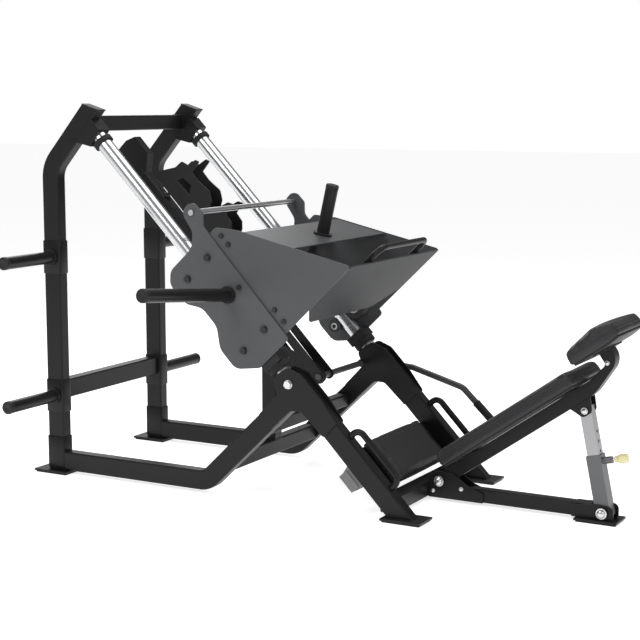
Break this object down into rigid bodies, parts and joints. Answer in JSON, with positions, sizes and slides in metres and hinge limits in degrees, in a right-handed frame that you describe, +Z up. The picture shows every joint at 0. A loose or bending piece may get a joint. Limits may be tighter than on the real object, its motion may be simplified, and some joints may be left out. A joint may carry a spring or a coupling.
{
  "type": "leg press machine",
  "caption": "Plate-loaded leg press: sled on chrome rods, wide footplate, weight horns, hooked safety rack with lever, reclining backrest on a pinned strut.",
  "frame": {"origin": "on the floor at the centre of the bounding box", "axes": "+X along the machine towards the backrest and head pad, +Y towards the user's right hand side with the lever, +Z up"},
  "size_m": [2.3638, 1.8572, 1.4732],
  "materials": {
    "frame_black": "satin near-black powder coat",
    "rack_black": "satin black coat on cut plate",
    "horn_black": "satin black coat",
    "sled_grey": "mid grey satin powder coat",
    "foot_grey": "dark grey coat with a fine texture",
    "rod_chrome": "bright hard chrome",
    "steel_light": "ground steel",
    "bolt_black": "black oxide",
    "post_chrome": "satin chrome",
    "lever_grey": "dark grey satin coat",
    "zinc": "bright zinc plate",
    "rubber": "matte black rubber",
    "plastic_black": "moulded black plastic",
    "roller_nylon": "dark nylon",
    "sleeve_grey": "mid grey satin coat",
    "vinyl": "dark grey grained vinyl",
    "knob_yellow": "pale yellow moulded plastic",
    "card_grey": "light grey ridged plastic"
  },
  "bodies": {
    "root": {"apex_bolts": "zinc", "apex_plates": "frame_black", "arm_end_caps": "plastic_black", "base_beam": "frame_black", "base_beam_plates": "frame_black", "card_holder": "card_grey", "centre_post": "frame_black", "floor_pads": "rubber", "foot_plates": "frame_black", "grab_handles": "frame_black", "guide_rods": "rod_chrome", "left_base_rail": "frame_black", "left_front_leg": "frame_black", "left_upright": "frame_black", "lever_bearings": "rack_black", "lower_crossmembers": "frame_black", "pivot_pins": "steel_light", "rack_rest_pad": "rubber", "rear_crossbar": "frame_black", "right_base_rail": "frame_black", "right_front_leg": "frame_black", "right_upright": "frame_black", "rod_buffers": "rubber", "rod_top_sockets": "frame_black", "seat_board": "plastic_black", "seat_pad": "vinyl", "spine_beam": "frame_black", "storage_horns": "horn_black", "top_crossbeam": "frame_black"},
    "sled": {"left_side_plate": "sled_grey", "right_side_plate": "sled_grey", "left_side_panel": "sled_grey", "right_side_panel": "sled_grey", "footplate": "foot_grey", "sled_cross_frame": "sled_grey", "sled_deck": "sled_grey", "top_weight_horn": "horn_black", "left_weight_horn": "horn_black", "right_weight_horn": "horn_black", "sled_cross_rod": "steel_light", "sled_bolts": "bolt_black", "sled_stop_collars": "plastic_black", "footplate_handle": "frame_black"},
    "lever": {"safety_lever": "lever_grey", "lever_grip": "rubber", "stop_rack": "rack_black"},
    "backrest": {"back_frame": "frame_black", "back_pad": "vinyl", "head_pad": "vinyl"},
    "strut_sleeve": {"strut_sleeve": "sleeve_grey"},
    "strut_post": {"strut_post": "post_chrome"},
    "pop_pin": {"pop_pin": "knob_yellow"},
    "left_rear_upper_roller": {"left_rear_upper_roller": "roller_nylon"},
    "left_rear_lower_roller": {"left_rear_lower_roller": "roller_nylon"},
    "left_front_upper_roller": {"left_front_upper_roller": "roller_nylon"},
    "left_front_lower_roller": {"left_front_lower_roller": "roller_nylon"},
    "right_rear_upper_roller": {"right_rear_upper_roller": "roller_nylon"},
    "right_rear_lower_roller": {"right_rear_lower_roller": "roller_nylon"},
    "right_front_upper_roller": {"right_front_upper_roller": "roller_nylon"},
    "right_front_lower_roller": {"right_front_lower_roller": "roller_nylon"}
  },
  "joints": [
    {"name": "sled_slide", "type": "slide", "parent": "root", "child": "sled", "axis": [-0.6947, 0, 0.7193], "range_m": [0, 0.54]},
    {"name": "safety_lever", "type": "hinge", "parent": "root", "child": "lever", "pos_m": [-0.06272, 0, 0.43088], "axis": [0, 1, 0], "range_deg": [0, 3.5]},
    {"name": "backrest_tilt", "type": "hinge", "parent": "root", "child": "backrest", "pos_m": [0.446, 0, 0.08], "axis": [0, 1, 0], "range_deg": [0, 10]},
    {"name": "strut_sleeve", "type": "hinge", "parent": "root", "child": "strut_sleeve", "pos_m": [1.075, 0, 0.039], "axis": [0, 1, 0], "range_deg": [0, 5.61]},
    {"name": "strut_post", "type": "slide", "parent": "strut_sleeve", "child": "strut_post", "axis": [-0.2039, 0, 0.979], "range_m": [-0.1075, 0]},
    {"name": "pop_pin", "type": "slide", "parent": "strut_sleeve", "child": "pop_pin", "axis": [-0.979, 0, -0.2039], "range_m": [0, 0.0085]},
    {"name": "left_rear_upper_roller_spin", "type": "hinge", "parent": "sled", "child": "left_rear_upper_roller", "pos_m": [-0.34555, -0.34, 0.90845], "axis": [0, 1, 0], "continuous": true},
    {"name": "left_rear_lower_roller_spin", "type": "hinge", "parent": "sled", "child": "left_rear_lower_roller", "pos_m": [-0.43374, -0.34, 0.82328], "axis": [0, 1, 0], "continuous": true},
    {"name": "left_front_upper_roller_spin", "type": "hinge", "parent": "sled", "child": "left_front_upper_roller", "pos_m": [-0.10242, -0.34, 0.65668], "axis": [0, 1, 0], "continuous": true},
    {"name": "left_front_lower_roller_spin", "type": "hinge", "parent": "sled", "child": "left_front_lower_roller", "pos_m": [-0.19061, -0.34, 0.57151], "axis": [0, 1, 0], "continuous": true},
    {"name": "right_rear_upper_roller_spin", "type": "hinge", "parent": "sled", "child": "right_rear_upper_roller", "pos_m": [-0.34555, 0.34, 0.90845], "axis": [0, 1, 0], "continuous": true},
    {"name": "right_rear_lower_roller_spin", "type": "hinge", "parent": "sled", "child": "right_rear_lower_roller", "pos_m": [-0.43374, 0.34, 0.82328], "axis": [0, 1, 0], "continuous": true},
    {"name": "right_front_upper_roller_spin", "type": "hinge", "parent": "sled", "child": "right_front_upper_roller", "pos_m": [-0.10242, 0.34, 0.65668], "axis": [0, 1, 0], "continuous": true},
    {"name": "right_front_lower_roller_spin", "type": "hinge", "parent": "sled", "child": "right_front_lower_roller", "pos_m": [-0.19061, 0.34, 0.57151], "axis": [0, 1, 0], "continuous": true}
  ],
  "couplings": [
    {"joint": "strut_sleeve", "follows": "backrest_tilt", "ratio": 0.5602},
    {"joint": "strut_post", "follows": "backrest_tilt", "m_per_rad": -0.61461},
    {"joint": "left_rear_upper_roller_spin", "follows": "sled_slide", "rad_per_m": -25},
    {"joint": "left_rear_lower_roller_spin", "follows": "sled_slide", "rad_per_m": 45.455},
    {"joint": "left_front_upper_roller_spin", "follows": "sled_slide", "rad_per_m": -25},
    {"joint": "left_front_lower_roller_spin", "follows": "sled_slide", "rad_per_m": 45.455},
    {"joint": "right_rear_upper_roller_spin", "follows": "sled_slide", "rad_per_m": -25},
    {"joint": "right_rear_lower_roller_spin", "follows": "sled_slide", "rad_per_m": 45.455},
    {"joint": "right_front_upper_roller_spin", "follows": "sled_slide", "rad_per_m": -25},
    {"joint": "right_front_lower_roller_spin", "follows": "sled_slide", "rad_per_m": 45.455}
  ]
}
